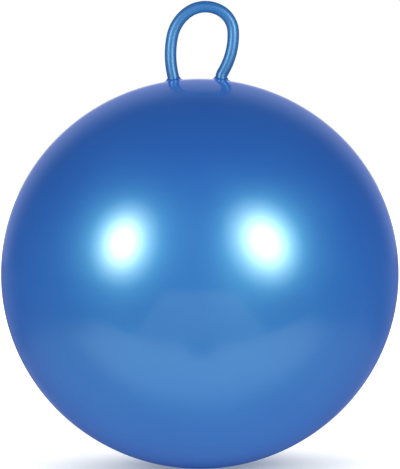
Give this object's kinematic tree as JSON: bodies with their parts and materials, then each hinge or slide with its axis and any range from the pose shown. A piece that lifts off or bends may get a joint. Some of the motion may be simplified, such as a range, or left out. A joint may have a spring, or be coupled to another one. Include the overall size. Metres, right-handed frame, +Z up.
{
  "type": "hopper ball",
  "caption": "Inflated soft plastic ball with a looped flexible tube handle on its crown, for a child to sit on, hold and bounce along.",
  "frame": {"origin": "centre of the patch that the ball stands on, at floor level", "axes": "+Z up through the crown, +X to the right along the handle loop's plane, +Y to the back where the air valve is"},
  "size_m": [0.45, 0.4497, 0.5279],
  "materials": {
    "ball_skin": "gloss",
    "handle_tunnel": "gloss",
    "handle_tube": "gloss",
    "joiner": "satin",
    "valve_seat": "satin",
    "valve_plug": "satin"
  },
  "bodies": {
    "ball": {"ball_skin": "ball_skin", "handle_tunnel": "handle_tunnel", "handle_tail_left": "handle_tube", "handle_tail_right": "handle_tube", "handle_joiner": "joiner", "valve_seat": "valve_seat"},
    "handle": {"handle_loop": "handle_tube"},
    "plug": {"valve_plug": "valve_plug"}
  },
  "joints": [
    {"name": "handle_bend", "type": "hinge", "parent": "ball", "child": "handle", "pos_m": [0, 0, 0.44333], "axis": [1, 0, 0], "range_deg": [-60, 60], "stiffness_Nm_per_rad": 1.3, "deforming": ["handle_tail_left", "handle_tail_right"]},
    {"name": "plug_pull", "type": "slide", "parent": "ball", "child": "plug", "axis": [0, 1, 0], "range_m": [0, 0.024]}
  ]
}
